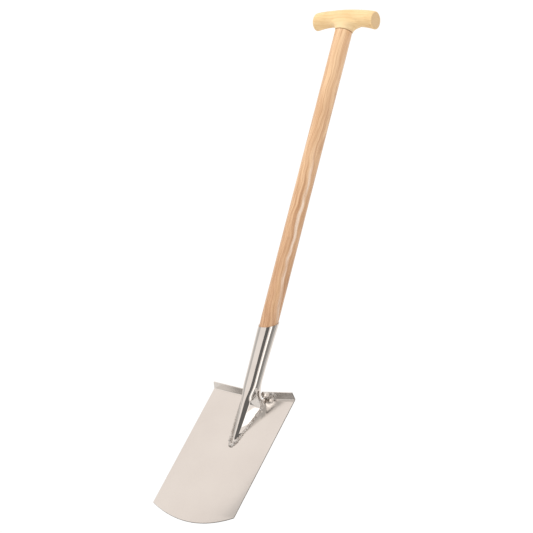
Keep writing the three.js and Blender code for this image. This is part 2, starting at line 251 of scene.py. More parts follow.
def make_camera():
    right, up, back = camera_axes()
    data = bpy.data.cameras.new("camera")
    data.sensor_width = CAMERA_SENSOR
    data.lens = CAMERA_LENS
    camera = bpy.data.objects.new("camera", data)
    aim = ORIGIN + Vector((0, 0, AIM_HEIGHT)) + AIM_RIGHT * right + AIM_UP * up
    turn = Matrix((right, up, back)).transposed().to_4x4()
    camera.matrix_world = Matrix.Translation(aim + CAMERA_DISTANCE * back) @ turn
    bpy.context.scene.collection.objects.link(camera)
    bpy.context.scene.camera = camera


# ---- small helpers ---------------------------------------------------------------------------

def lerp(a, b, t):
    return a + (b - a) * t


def clamp(value, low=0.0, high=1.0):
    return max(low, min(high, value))


def smoothstep(value, low, high):
    t = clamp((value - low) / (high - low))
    return t * t * (3 - 2 * t)


def add_mesh(name, bm):
    """Makes an object of a bmesh, smooth but for its sharp edges."""
    bmesh.ops.recalc_face_normals(bm, faces=bm.faces)
    for face in bm.faces:
        face.smooth = True
    for edge in bm.edges:
        edge.smooth = len(edge.link_faces) < 2 or edge.calc_face_angle(0) < SHARP_EDGE
    mesh = bpy.data.meshes.new(name)
    bm.to_mesh(mesh)
    bm.free()
    obj = bpy.data.objects.new(name, mesh)
    bpy.context.scene.collection.objects.link(obj)
    return obj


def bake(obj):
    """Applies the modifiers of an object."""
    depsgraph = bpy.context.evaluated_depsgraph_get()
    mesh = bpy.data.meshes.new_from_object(obj.evaluated_get(depsgraph))
    old = obj.data
    obj.modifiers.clear()
    obj.data = mesh
    bpy.data.meshes.remove(old)


def round_edges(obj, width):
    bevel = obj.modifiers.new("edge_rounding", "BEVEL")
    bevel.width = width
    bevel.segments = ROUNDING_STEPS
    bevel.limit_method = "ANGLE"
    bevel.angle_limit = SHARP_EDGE
    bake(obj)


def sheet_mesh(columns, rows, place, keep=None):
    """A closed sheet over a grid of cells. place(column, row, side) gives a corner point, where side
    is 0 on the front and 1 on the back, and keep(column, row) says which cells there are."""
    bm = bmesh.new()
    corners = {}

    def corner(i, j, side):
        if (i, j, side) not in corners:
            corners[i, j, side] = bm.verts.new(place(i, j, side))
        return corners[i, j, side]

    def kept(i, j):
        return 0 <= i < columns and 0 <= j < rows and (keep is None or keep(i, j))

    for i in range(columns):
        for j in range(rows):
            if not kept(i, j):
                continue
            ring = [(i, j), (i + 1, j), (i + 1, j + 1), (i, j + 1)]
            bm.faces.new([corner(*c, 0) for c in ring])
            bm.faces.new([corner(*c, 1) for c in reversed(ring)])
            neighbours = [(i, j - 1), (i + 1, j), (i, j + 1), (i - 1, j)]
            for k, cell in enumerate(neighbours):
                if not kept(*cell):
                    a, b = ring[k], ring[(k + 1) % 4]
                    bm.faces.new([corner(*b, 0), corner(*a, 0), corner(*a, 1), corner(*b, 1)])
    return bm


def lathe_mesh(profile, segments, place):
    """A turned solid. profile lists (radius, height), and place moves each point."""
    bm = bmesh.new()
    rings = []
    for radius, height in profile:
        if radius == 0:
            rings.append([bm.verts.new(place(Vector((0, 0, height))))])
            continue
        angles = [2 * math.pi * k / segments for k in range(segments)]
        points = [Vector((radius * math.cos(t), radius * math.sin(t), height)) for t in angles]
        rings.append([bm.verts.new(place(p)) for p in points])
    for low, high in zip(rings, rings[1:]):
        for k in range(segments):
            n = (k + 1) % segments
            if len(low) == 1:
                bm.faces.new([low[0], high[n], high[k]])
            elif len(high) == 1:
                bm.faces.new([low[k], low[n], high[0]])
            else:
                bm.faces.new([low[k], low[n], high[n], high[k]])
    return bm


def bead_radius(way, radii):
    """The radius of a bead at 0..1 of its run."""
    return lerp(radii[0], radii[1], smoothstep(abs(2 * way - 1), BEAD_MIDDLE, BEAD_BEYOND))


def bead_lumps(point, seed):
    """How much a point on a bead is pushed out or in, as a factor near one."""
    where = point / MM + Vector((seed, 0, 0))
    return 1 + sum(share * noise.noise(where * density) for share, density in (BROAD_LUMPS, FINE_LUMPS))


def bead_mesh(path, radii, seed):
    """A weld bead: a rippled, lumpy rope along a path, which thins out at both ends."""
    bm = bmesh.new()
    rings = []
    run = 0.0
    last = len(path) - 1
    for i, point in enumerate(path):
        ahead = path[min(i + 1, last)]
        behind = path[max(i - 1, 0)]
        run += (point - behind).length if i else 0
        along = (ahead - behind).normalized()
        side = along.cross(Vector((0, 0, 1))).normalized()
        up = side.cross(along)
        wave = 1 + BEAD_RIPPLE * math.sin(2 * math.pi * run / BEAD_PITCH + seed)
        end = clamp(min(i, last - i) / BEAD_END_POINTS)
        taper = max(math.sqrt(end * (2 - end)), BEAD_END_SHARE)
        radius = bead_radius(i / last, radii) * wave * taper
        ring = []
        for k in range(BEAD_SIDES):
            t = 2 * math.pi * k / BEAD_SIDES
            out = math.cos(t) * side + math.sin(t) * up
            lumps = bead_lumps(point + out * radius, seed)
            ring.append(bm.verts.new(point + out * radius * lumps))
        rings.append(ring)
    for low, high in zip(rings, rings[1:]):
        for k in range(BEAD_SIDES):
            n = (k + 1) % BEAD_SIDES
            bm.faces.new([low[k], low[n], high[n], high[k]])
    bm.faces.new(list(reversed(rings[0])))
    bm.faces.new(rings[-1])
    return bm


def even_path(points, step):
    """The same line with points at even steps."""
    fine = []
    for a, b in zip(points, points[1:]):
        count = max(1, round((b - a).length / step))
        fine += [a.lerp(b, k / count) for k in range(count)]
    return fine + [points[-1]]


# ---- blade -----------------------------------------------------------------------------------

DOWN_BLADE = Vector((0, -math.sin(BLADE_LEAN), -math.cos(BLADE_LEAN)))
OFF_BLADE = Vector((0, -math.cos(BLADE_LEAN), math.sin(BLADE_LEAN)))


def dish(across, down):
    """How far forward the sheet is bent: a shallow V at its top, which turns into a curve below."""
    depth = lerp(DISH_TOP, DISH_LOW, clamp(down / BLADE_SIDE))
    curved = smoothstep(down, 0, DISH_BLEND)
    return depth * lerp(abs(across), across * across, curved)


def blade_half_width(down):
    return lerp(BLADE_WIDTH, BLADE_WIDTH_LOW, clamp(down / BLADE_SIDE)) / 2


def blade_point(x, down, forward):
    """A point by its distance down the leaning blade and forward, off its front."""
    return ORIGIN + Vector((x, BLADE_SETBACK, 0)) + DOWN_BLADE * down + OFF_BLADE * forward


def blade_front(x, height):
    """The y of the front face at a given x and height, from the shaft's axis, found step by step."""
    down = -height / math.cos(BLADE_LEAN)
    for _ in range(FRONT_STEPS):
        held = max(down, 0)
        face = blade_point(x, down, dish(x / blade_half_width(held), held)) - ORIGIN
        down += (face.z - height) / math.cos(BLADE_LEAN)
    return face.y


def blade_across(column):
    """Columns are evenly spread on each side of the notch's edge."""
    i = column - HALF_COLUMNS
    edge = NOTCH_HALF / (BLADE_WIDTH / 2)
    if abs(i) <= NOTCH_COLUMNS:
        return edge * i / NOTCH_COLUMNS
    way = (abs(i) - NOTCH_COLUMNS) / (HALF_COLUMNS - NOTCH_COLUMNS)
    return math.copysign(lerp(edge, 1, way), i)


def blade_corner(column, row, side):
    """A corner of the sheet. Rows run from the treads' free edge over the fold to the cutting edge."""
    across = blade_across(column)
    behind = SHEET * side
    fold_start = FOLD_RADIUS * math.tan(TREAD_FOLD / 2)
    if row > TREAD_ROWS + FOLD_ROWS:
        way = (row - TREAD_ROWS - FOLD_ROWS) / FACE_ROWS
        end = BLADE_SIDE + EDGE_BOW * (1 - across * across)
        down = lerp(fold_start, end, way)
        x = across * blade_half_width(down)
        return blade_point(x, down, dish(across, down) - behind)
    turned = clamp((TREAD_ROWS + FOLD_ROWS - row) / FOLD_ROWS) * TREAD_FOLD
    outward = max(TREAD_ROWS - row, 0) / TREAD_ROWS * (TREAD_DEPTH - fold_start)
    radius = FOLD_RADIUS + behind
    down = fold_start - radius * math.sin(turned) - outward * math.cos(turned)
    forward = FOLD_RADIUS - radius * math.cos(turned) + outward * math.sin(turned)
    chamfer = TREAD_CHAMFER * outward / TREAD_DEPTH
    x = across * (BLADE_WIDTH / 2 - chamfer)
    return blade_point(x, down, dish(x / (BLADE_WIDTH / 2), 0) + forward)


def blade_cell(column, row):
    in_notch = HALF_COLUMNS - NOTCH_COLUMNS <= column < HALF_COLUMNS + NOTCH_COLUMNS
    return not (in_notch and row < TREAD_ROWS + FOLD_ROWS)


def make_blade():
    rows = TREAD_ROWS + FOLD_ROWS + FACE_ROWS
    bm = sheet_mesh(2 * HALF_COLUMNS, rows, blade_corner, blade_cell)
    blade = add_mesh("blade_sheet", bm)
    round_edges(blade, BLADE_ROUNDING)
    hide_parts("blade")
    return blade


# ---- socket ----------------------------------------------------------------------------------

def tube_radius(height):
    way = max(height - NECK_HEIGHT, 0) / (SOCKET_RIM - NECK_HEIGHT)
    return NECK_RADIUS + (RIM_RADIUS - NECK_RADIUS) * way ** TAPER_POWER


def tube_centre(height):
    return tube_radius(height) - SOCKET_FRONT


def toward_tip(height, rounding):
    """The outline of the tongue: 1 at its shoulder and 0 just past its tip."""
    way = (height - TONGUE_TIP + TIP_BLUNTNESS) / (TONGUE_SHOULDER - TONGUE_TIP)
    return clamp(way) ** rounding


def opened(height):
    """0 where the socket is a tube and 1 where its flanks have spread out over the blade."""
    return 1 - smoothstep(height, FLARE_FULL, FLARE_TOP)


def crest_half(height):
    neck = smoothstep(height, TONGUE_SHOULDER, NECK_HEIGHT)
    return lerp(CREST_HALF * toward_tip(height, CREST_ROUNDING), NECK_RADIUS, neck)


def foot_half(height):
    return lerp(crest_half(height), FOOT_HALF * toward_tip(height, FOOT_ROUNDING), opened(height))


def tube_section(turn, height, inset):
    radius = tube_radius(height)
    angle = turn * (math.pi - SEAM_GAP / 2 / radius)
    outer = radius - inset
    return Vector((outer * math.sin(angle), tube_centre(height) - outer * math.cos(angle), height))


def ridge_fall(way):
    """The section of a ridge: how far it falls back at 0..1 of its half width."""
    return RIDGE_SLOPE * (math.hypot(RIDGE_SHARPNESS, way) - RIDGE_SHARPNESS)


def arch_section(turn, height, inset):
    """A crest, a crease on each side and two flanks down to the blade. The crest is half a circle
    under the neck and a rounded ridge where the flanks have spread."""
    half = crest_half(height)
    foot = foot_half(height)
    rear = blade_front(foot, height) - GAP
    depth = max(rear + SOCKET_FRONT, LEAST_ARCH_DEPTH)
    bow = min(half, CREST_SHARE * depth)
    thin = min(inset, WALL_SHARE * bow, WALL_SHARE * half)
    swung = min(abs(turn) * 2, 1)
    angle = swung * math.pi / 2
    leg = max(abs(turn) * 2 - 1, 0)
    x = (half - thin) * lerp(math.sin(angle), swung, opened(height))
    fall = lerp(1 - math.cos(angle), ridge_fall(swung), opened(height))
    y = thin - SOCKET_FRONT + (bow - thin) * fall
    swept = leg * (1 - FLANK_HOLLOW) + leg * leg * FLANK_HOLLOW
    return Vector((
        math.copysign(lerp(x, foot - thin, swept), turn),
        lerp(y, depth - SOCKET_FRONT, leg),
        height))


def socket_point(turn, along, inset):
    """turn runs from -1 to 1 round the front, and along from the rim (0) to the tip (1)."""
    rim = SOCKET_RIM - RIM_SLANT * math.cos(turn * math.pi)
    height = lerp(rim, TONGUE_TIP, along)
    arch = arch_section(turn, min(height, NECK_HEIGHT), inset)
    arch.z = height
    closed = smoothstep(height, ARCH_FOOT, NECK_HEIGHT)
    return arch.lerp(tube_section(turn, height, inset), closed)


def make_socket():
    def corner(i, j, side):
        along = 1 - (1 - j / SOCKET_ROWS) ** RIM_CROWDING
        return ORIGIN + socket_point(2 * i / SOCKET_COLUMNS - 1, along, WALL * side)

    socket = add_mesh("socket_tube", sheet_mesh(SOCKET_COLUMNS, SOCKET_ROWS, corner))
    round_edges(socket, SOCKET_ROUNDING)
    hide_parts("socket")
    return socket


# ---- welds -----------------------------------------------------------------------------------

def make_tongue_weld():
    """The bead goes down one foot of the socket, round the tongue's tip and up the other."""
    path = []
    for i in range(-TONGUE_BEAD_POINTS, TONGUE_BEAD_POINTS + 1):
        way = (abs(i) / TONGUE_BEAD_POINTS) ** TIP_CROWDING
        height = lerp(TONGUE_TIP - BEAD_OUTSIDE, BEAD_TOP, way)
        foot = foot_half(max(height, TONGUE_TIP)) + BEAD_OUTSIDE
        x = math.copysign(foot, i) if i else 0
        path.append(ORIGIN + Vector((x, blade_front(x, height) - BEAD_OUTSIDE, height)))
    bead = bead_mesh(even_path(path, TONGUE_BEAD_STEP), TONGUE_BEAD, TONGUE_BEAD_SEED)
    weld = add_mesh("tongue_bead", bead)
    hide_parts("tongue_weld")
    return weld


def make_tread_weld(side, name, node):
    """The bead on the inner edge of a tread. side is -1 on the left and 1 on the right."""
    path = []
    for i in range(TREAD_BEAD_POINTS + 1):
        outward = lerp(TREAD_BEAD_START, TREAD_BEAD_END, i / TREAD_BEAD_POINTS)
        down = FOLD_RADIUS - outward * math.cos(TREAD_FOLD)
        forward = FOLD_RADIUS + outward * math.sin(TREAD_FOLD)
        x = side * (NOTCH_HALF + BEAD_OUTSIDE)
        path.append(blade_point(x, down, dish(abs(x) / BLADE_WIDTH * 2, 0) + forward))
    bead = bead_mesh(even_path(path, TREAD_BEAD_STEP), TREAD_BEAD, TREAD_BEAD_SEED * side)
    weld = add_mesh(name, bead)
    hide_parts(node)
    return weld


# ---- shaft -----------------------------------------------------------------------------------

def shaft_place(p):
    """The shaft's lower end follows the middle of the tapering socket."""
    shift = tube_centre(p.z) if p.z < SOCKET_RIM else 0
    return ORIGIN + Vector((p.x, p.y + shift, p.z))


def make_shaft():
    foot_radius = tube_radius(SHAFT_FOOT) - WALL - GAP
    profile = [(0, SHAFT_FOOT), (foot_radius - SHAFT_CHAMFER, SHAFT_FOOT)]
    taper_end = SOCKET_RIM + RIM_SLANT
    for i in range(TAPER_RINGS + 1):
        height = lerp(SHAFT_FOOT + SHAFT_CHAMFER, taper_end, i / TAPER_RINGS)
        profile.append((min(tube_radius(height) - WALL - GAP, SHAFT_RADIUS), height))
    round_end = SHOULDER_HEIGHT - SHOULDER_ROUNDING
    for i in range(1, SHAFT_RINGS + 1):
        profile.append((SHAFT_RADIUS, lerp(taper_end, round_end, i / SHAFT_RINGS)))
    profile += [
        (SHAFT_RADIUS - SHOULDER_KNEE_IN, SHOULDER_HEIGHT - SHOULDER_KNEE_DOWN),
        (SHAFT_RADIUS - SHOULDER_ROUNDING, SHOULDER_HEIGHT),
        (TENON_RADIUS, SHOULDER_HEIGHT),
        (TENON_RADIUS, SHOULDER_HEIGHT + TENON_LENGTH - TENON_CHAMFER),
        (TENON_RADIUS - TENON_CHAMFER, SHOULDER_HEIGHT + TENON_LENGTH),
        (0, SHOULDER_HEIGHT + TENON_LENGTH),
    ]
    shaft = add_mesh("ash_shaft", lathe_mesh(profile, SHAFT_SIDES, shaft_place))
    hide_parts("shaft")
    return shaft


# ---- grip ------------------------------------------------------------------------------------

def grip_bar():
    """A bar along X whose centre line is crowned and whose middle is thinner than its ends."""
    half = GRIP_LENGTH / 2
    rounded = []
    for i in range(GRIP_ROUNDING_RINGS + 1):
        t = math.pi / 2 * i / GRIP_ROUNDING_RINGS
        radius = 1 - GRIP_ROUNDING / GRIP_END_RADIUS * (1 - math.sin(t))
        rounded.append((radius, half - GRIP_ROUNDING * (1 - math.cos(t))))
    profile = [(0, -half), (GRIP_END_RING, -half)]
    profile += [(radius, -out) for radius, out in rounded]
    for i in range(1, GRIP_RINGS):
        profile.append((1, lerp(GRIP_ROUNDING - half, half - GRIP_ROUNDING, i / GRIP_RINGS)))
    profile += list(reversed(rounded))
    profile += [(GRIP_END_RING, half), (0, half)]

    def place(p):
        out = abs(p.z / half)
        depth = GRIP_END_RADIUS - WAIST_DEPTH * math.sin(math.pi * out) ** 2
        height = GRIP_END_RADIUS - WAIST_HEIGHT * (1 - out ** 4)
        centre = GRIP_AXIS + GRIP_CROWN * (1 - out ** 3) + GRIP_TILT * p.z
        return ORIGIN + Vector((p.z, p.y * depth, centre - p.x * height))

    return lathe_mesh(profile, GRIP_SIDES, place)


def grip_boss():
    """The boss sweeps out into the underside of both arms as it rises."""
    foot = SHOULDER_HEIGHT + GAP
    height = GRIP_AXIS + BOSS_TOP - foot

    def place(p):
        rise = clamp(p.z) * height
        swept = min(rise / FLARE_HEIGHT, 1)
        spread = 1 + BOSS_FLARE / BOSS_RADIUS * (1 - math.sqrt(1 - FLARE_SWEEP * swept * swept))
        draw_in = 1 - BOSS_DRAW_IN * (rise / height) ** 2
        return ORIGIN + Vector((p.x * spread, p.y * draw_in, foot + rise))

    profile = [(0, 0), (BOSS_RADIUS, 0)]
    profile += [(BOSS_RADIUS, i / BOSS_RINGS) for i in range(1, BOSS_RINGS + 1)]
    profile += [(0, 1)]
    return lathe_mesh(profile, GRIP_SIDES, place)


def combine(obj, other, operation):
    """Joins another object to this one, or cuts it away, and deletes it."""
    step = obj.modifiers.new("combine", "BOOLEAN")
    step.operation = operation
    step.object = other
    bake(obj)
    bpy.data.objects.remove(other)


def grip_mortise():
    """The hole for the tenon, which starts below the boss and leaves room over the tenon's end."""
    radius = TENON_RADIUS + GAP
    top = TENON_LENGTH + END_ROOM
    profile = [(0, -MORTISE_OVERRUN), (radius, -MORTISE_OVERRUN), (radius, top), (0, top)]
    shoulder = ORIGIN + Vector((0, 0, SHOULDER_HEIGHT))
    return lathe_mesh(profile, MORTISE_SIDES, lambda p: shoulder + p)


def make_grip():
    """The bar and its boss grow together and are sanded, and then the mortise is cut."""
    grip = add_mesh("grip_wood", grip_bar())
    combine(grip, add_mesh("grip_boss", grip_boss()), "UNION")
    remesh = grip.modifiers.new("remesh", "REMESH")
    remesh.mode = "VOXEL"
    remesh.voxel_size = GRIP_VOXEL
    smooth = grip.modifiers.new("sanded", "SMOOTH")
    smooth.factor = SANDING_STRENGTH
    smooth.iterations = SANDING_PASSES
    bake(grip)
    combine(grip, add_mesh("mortise", grip_mortise()), "DIFFERENCE")
    for face in grip.data.polygons:
        face.use_smooth = True
    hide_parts("t_grip")
    return grip


# ---- fasteners -------------------------------------------------------------------------------

def make_screw():
    """A slotted screw with a domed head, level and aimed at the middle of the socket."""
    outward = Vector((math.sin(SCREW_ANGLE), -math.cos(SCREW_ANGLE), 0))
    turn = Vector((0, 0, 1)).rotation_difference(outward).to_matrix()
    seat = ORIGIN + Vector((0, tube_centre(SCREW_HEIGHT), SCREW_HEIGHT))
    seat += outward * (tube_radius(SCREW_HEIGHT) + SCREW_LIFT)
    profile = [
        (0, -SCREW_LENGTH),
        (SCREW_SHANK, SCREW_POINT - SCREW_LENGTH),
        (SCREW_SHANK, 0),
        (SCREW_HEAD, 0),
        (SCREW_HEAD, SCREW_LIP),
    ]
    for i in range(1, DOME_RINGS):
        t = math.pi / 2 * i / DOME_RINGS
        profile.append((SCREW_HEAD * math.cos(t), lerp(SCREW_LIP, SCREW_DOME, math.sin(t))))
    profile.append((0, SCREW_DOME))

    def place(p):
        return seat + turn @ p

    screw = add_mesh("pan_head_screw", lathe_mesh(profile, SCREW_SIDES, place))
    slot = bmesh.new()
    bmesh.ops.create_cube(slot, size=1)
    bmesh.ops.scale(slot, vec=SLOT_SIZE, verts=slot.verts)
    slot_turn = Matrix.Rotation(SLOT_TURN, 3, "Z")
    slot_middle = Vector((0, 0, SCREW_DOME + SLOT_ABOVE_DOME))
    for v in slot.verts:
        v.co = place(slot_turn @ v.co + slot_middle)
    combine(screw, add_mesh("slot_cutter", slot), "DIFFERENCE")
    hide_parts("socket_screw")
    return screw


def make_pin():
    """A plain pin with a pointed inner end and a slightly crowned outer one."""
    low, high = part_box("grip_pin")
    middle = (low + high) / 2
    turn = Matrix.Rotation(-math.pi / 2, 3, "X")
    length = high.y - low.y
    profile = [
        (0, -length / 2),
        (PIN_RADIUS, -length / 2 + PIN_RADIUS),
        (PIN_RADIUS, length / 2 - PIN_SHOULDER),
        (PIN_CROWN_SHARE * PIN_RADIUS, length / 2 - PIN_CROWN),
        (0, length / 2),
    ]
    pin = add_mesh("pin", lathe_mesh(profile, PIN_SIDES, lambda p: middle + turn @ p))
    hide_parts("grip_pin")
    return pin


# ---- materials -------------------------------------------------------------------------------

def srgb(red, green, blue):
    """Turns a 0-255 display colour into the linear colour that the shader takes."""
    def linear(value):
        c = value / 255
        return c / 12.92 if c <= 0.04045 else ((c + 0.055) / 1.055) ** 2.4
    return (linear(red), linear(green), linear(blue), 1)


BLADE_TONES = (srgb(241, 238, 235), srgb(235, 231, 228))
SOCKET_TONES = (srgb(241, 239, 237), srgb(233, 230, 227))
TONGUE_WELD_TONES = (srgb(196, 190, 185), srgb(243, 241, 239))
# The tread beads' own steel tones, darkened with painted shade.
TREAD_WELD_TONES_AND_SHADE = (srgb(128, 117, 107), srgb(205, 196, 188))
FASTENER_TONES = (srgb(196, 192, 187), srgb(170, 165, 160))
GRINDING_LINE = srgb(226, 221, 216)
# Painted shade on the blade's cut edges, over their own duller steel.
CUT_EDGE_SHADE = srgb(128, 116, 104)

ASH_TONES = (
    (0.3, srgb(220, 176, 132)), (0.45, srgb(237, 196, 153)),
    (0.6, srgb(247, 209, 166)), (0.75, srgb(240, 199, 153)))
ASH_STREAK = srgb(197, 147, 104)
ASH_VEIN = srgb(184, 131, 92)
# A painted varnish highlight, laid in pale streaks on the right of the shaft's lower half.
ASH_PAINTED_HIGHLIGHT = srgb(255, 236, 216)
ASH_STAIN = srgb(180, 126, 84)
ASH_PORE = srgb(180, 130, 90)
ASH_LOWER_TINT = srgb(226, 214, 208)

GRIP_TONES = ((0.0, srgb(245, 215, 163)), (0.7, srgb(242, 209, 156)), (1.0, srgb(233, 196, 141)))
GRIP_STREAK = srgb(224, 184, 128)
GRIP_WORN = srgb(229, 191, 136)
GRIP_END_TONES = (srgb(230, 198, 151), srgb(214, 178, 131))
# Painted light that lightens the lower part of the boss.
GRIP_BOSS_PAINTED_LIGHT = srgb(252, 228, 186)
# Painted shade in the gap where the boss stands on the shaft.
GRIP_JOINT_PAINTED_SHADE = srgb(140, 92, 62)

# How the grain of the ash turns round the shaft, in radians: to and fro all the way up, and once
# more over the last stretch above the socket's rim.
GRAIN_WANDER = 0.3
GRAIN_SWEEP = -0.7
SWEEP_HEIGHT = 90 * MM

# How far a face has to turn sideways or down the blade to be a cut edge: not one at the first
# share, wholly one at the second. Facing down counts from the first height, fully at the second.
CUT_FACING = (0.45, 0.8)
LOWER_EDGE = (60 * MM, 50 * MM)

# Roughness at the two ends of each pattern.
BLADE_SHEEN = (0.1, 0.15)
SOCKET_SHEEN = (0.045, 0.075)
WELD_ROUGHNESS = (0.16, 0.06)
FASTENER_ROUGHNESS = (0.25, 0.42)
ASH_ROUGHNESS = (0.5, 0.38)
GRIP_ROUGHNESS = (0.46, 0.58)
VARNISH = 0.6
VARNISH_ROUGHNESS = 0.12

# The levels that a noise pattern keeps between, and its middle ones.
NOISE_RANGE = (0.3, 0.7)
NOISE_MIDDLE = (0.35, 0.65)

# Each mark on one side of the ash shaft: degrees to the right of the front, degrees to each side.
VEIN_SIDE = (38, 10)
# The side where the painted varnish highlight lies.
PAINTED_HIGHLIGHT_SIDE = (53, 14)
STAIN_SIDE = (108, 34)

# Painted light on the lower part of the grip's boss: half widths and heights between which it fades in.
BOSS_PAINTED_LIGHT_WIDTH = (34 * MM, 14 * MM)
BOSS_PAINTED_LIGHT_HEIGHT = (22 * MM, 6 * MM)
BOSS_PAINTED_LIGHT = 0.45
# Painted shade in the gap where the boss stands on the shaft: heights between which it fades out, and
# its strength.
JOINT_SHADE_HEIGHT = (0.4 * MM, 1.8 * MM)
JOINT_SHADE = 0.75

# Where a Mix node for colours has its factor, its two colours and its result.
MIX_INPUTS = (0, 6, 7)
MIX_RESULT = 2


class Surface:
    """One material and short ways to add nodes to it."""

    def __init__(self, name):
        self.material = bpy.data.materials.new(name)
        self.material.use_nodes = True
        self.tree = self.material.node_tree
        self.shader = self.tree.nodes["Principled BSDF"]

    def node(self, kind, **settings):
        made = self.tree.nodes.new(kind)
        for key, value in settings.items():
            setattr(made, key, value)
        return made

    def link(self, source, target):
        self.tree.links.new(source, target)

    def feed(self, values, sockets):
        """Links each value to its socket where it is a node's output, and sets the socket otherwise."""
        for value, socket in zip(values, sockets):
            if hasattr(value, "is_linked"):
                self.link(value, socket)
            else:
                socket.default_value = value

    def place(self, scale=(1, 1, 1), turn=(0, 0, 0), shift=(0, 0, 0)):
        coordinates = self.node("ShaderNodeTexCoord")
        mapping = self.node("ShaderNodeMapping")
        mapping.inputs["Scale"].default_value = scale
        mapping.inputs["Rotation"].default_value = turn
        mapping.inputs["Location"].default_value = shift
        self.link(coordinates.outputs["Object"], mapping.inputs["Vector"])
        return mapping.outputs["Vector"]

    def noise(self, where, scale, detail=3, roughness=0.5):
        made = self.node("ShaderNodeTexNoise")
        made.inputs["Scale"].default_value = scale
        made.inputs["Detail"].default_value = detail
        made.inputs["Roughness"].default_value = roughness
        self.link(where, made.inputs["Vector"])
        return made.outputs["Fac"]

    def ramp(self, value, stops):
        made = self.node("ShaderNodeValToRGB")
        elements = made.color_ramp.elements
        while len(elements) < len(stops):
            elements.new(0.5)
        for element, (position, colour) in zip(elements, stops):
            element.position = position
            element.color = colour
        self.link(value, made.inputs["Fac"])
        return made.outputs["Color"]

    def levels(self, value, low, high, out_low=0.0, out_high=1.0):
        made = self.node("ShaderNodeMapRange")
        made.inputs["From Min"].default_value = low
        made.inputs["From Max"].default_value = high
        made.inputs["To Min"].default_value = out_low
        made.inputs["To Max"].default_value = out_high
        self.link(value, made.inputs["Value"])
        return made.outputs["Result"]

    def mix(self, factor, a, b, blend="MIX"):
        made = self.node("ShaderNodeMix", data_type="RGBA", blend_type=blend)
        self.feed((factor, a, b), [made.inputs[i] for i in MIX_INPUTS])
        return made.outputs[MIX_RESULT]

    def math(self, operation, a, b=0.0):
        made = self.node("ShaderNodeMath", operation=operation)
        self.feed((a, b), made.inputs)
        return made.outputs["Value"]

    def axes(self, where):
        """The x, y and z of a vector."""
        made = self.node("ShaderNodeSeparateXYZ")
        self.link(where, made.inputs["Vector"])
        return made.outputs["X"], made.outputs["Y"], made.outputs["Z"]

    def cut_edges(self):
        """One on the sides and the lower edge of the blade's sheet, zero on its two faces."""
        geometry = self.node("ShaderNodeNewGeometry")
        across = self.math("ABSOLUTE", self.axes(geometry.outputs["Normal"])[0])
        down = self.node("ShaderNodeVectorMath", operation="DOT_PRODUCT")
        self.link(geometry.outputs["Normal"], down.inputs[0])
        down.inputs[1].default_value = DOWN_BLADE
        height = self.axes(self.place())[2]
        low = self.levels(height, CAD_LOW.z + LOWER_EDGE[0], CAD_LOW.z + LOWER_EDGE[1])
        lower_edge = self.math("MULTIPLY", down.outputs["Value"], low)
        return self.levels(self.math("MAXIMUM", across, lower_edge), *CUT_FACING)

    def bump(self, height, strength, distance, under=None):
        made = self.node("ShaderNodeBump")
        made.inputs["Strength"].default_value = strength
        made.inputs["Distance"].default_value = distance
        self.link(height, made.inputs["Height"])
        if under is not None:
            self.link(under, made.inputs["Normal"])
        return made.outputs["Normal"]

    def finish(self, colour, roughness, normal):
        self.link(colour, self.shader.inputs["Base Color"])
        self.link(roughness, self.shader.inputs["Roughness"])
        self.link(normal, self.shader.inputs["Normal"])
        return self.material


def polished_steel(name, tones, sheen, line_turn, cloud_scale, wave, dull_shaded_edges=False):
    """Sheet steel with fine lengthwise grinding lines, clouded sheen and soft waves, and with cut
    edges made duller and darkened with painted shade where asked. sheen holds the roughness of the
    two kinds of cloud, and wave the scale and the strength of the waves."""
    s = Surface(name)
    s.shader.inputs["Metallic"].default_value = 1
    lines = s.noise(s.place(scale=(1, 1, 0.02), turn=(line_turn, 0, 0)), scale=1400, detail=4)
    clouds = s.noise(s.place(), cloud_scale, detail=4)
    clouded = s.mix(s.levels(clouds, *NOISE_RANGE), *tones)
    colour = s.mix(s.levels(lines, 0.5, 0.75, 0, 0.25), clouded, GRINDING_LINE)
    cloudy = s.levels(clouds, *NOISE_RANGE, *sheen)
    roughness = s.math("ADD", cloudy, s.levels(lines, *NOISE_RANGE, 0, 0.02))
    wave_scale, wave_strength = wave
    waves = s.bump(s.noise(s.place(), wave_scale, detail=1), wave_strength, distance=3 * MM)
    if dull_shaded_edges:
        cut = s.cut_edges()
        # Cut edges are rougher, and painted shade darkens them.
        colour = s.mix(s.math("MULTIPLY", cut, 0.85), colour, CUT_EDGE_SHADE)
        roughness = s.math("ADD", roughness, s.math("MULTIPLY", cut, 0.25))
    return s.finish(colour, roughness, s.bump(lines, strength=0.015, distance=0.2 * MM, under=waves))


def blade_steel():
    return polished_steel(
        "blade_steel", BLADE_TONES, sheen=BLADE_SHEEN, line_turn=-BLADE_LEAN,
        cloud_scale=9, wave=(14, 0.05), dull_shaded_edges=True)


def socket_steel():
    return polished_steel(
        "socket_steel", SOCKET_TONES, sheen=SOCKET_SHEEN, line_turn=0,
        cloud_scale=22, wave=(30, 0.05))


def weld_steel(name, tones):
    """Brushed weld: darker and rougher in its hollows, lighter and smoother on its ridges."""
    s = Surface(name)
    s.shader.inputs["Metallic"].default_value = 1
    grain = s.noise(s.place(), scale=900, detail=5)
    patches = s.noise(s.place(), scale=170, detail=3)
    colour = s.mix(s.levels(patches, *NOISE_MIDDLE), *tones)
    roughness = s.levels(patches, *NOISE_RANGE, *WELD_ROUGHNESS)
    ridges = s.bump(patches, strength=0.3, distance=0.8 * MM)
    return s.finish(colour, roughness, s.bump(grain, strength=0.06, distance=0.2 * MM, under=ridges))


def fastener_steel():
    """Plain steel with a fine, dull grain."""
    s = Surface("fastener_steel")
    s.shader.inputs["Metallic"].default_value = 1
    grain = s.noise(s.place(), scale=700, detail=5)
    colour = s.mix(s.levels(grain, *NOISE_MIDDLE), *FASTENER_TONES)
    roughness = s.levels(grain, *NOISE_RANGE, *FASTENER_ROUGHNESS)
    return s.finish(colour, roughness, s.bump(grain, strength=0.2, distance=0.2 * MM))


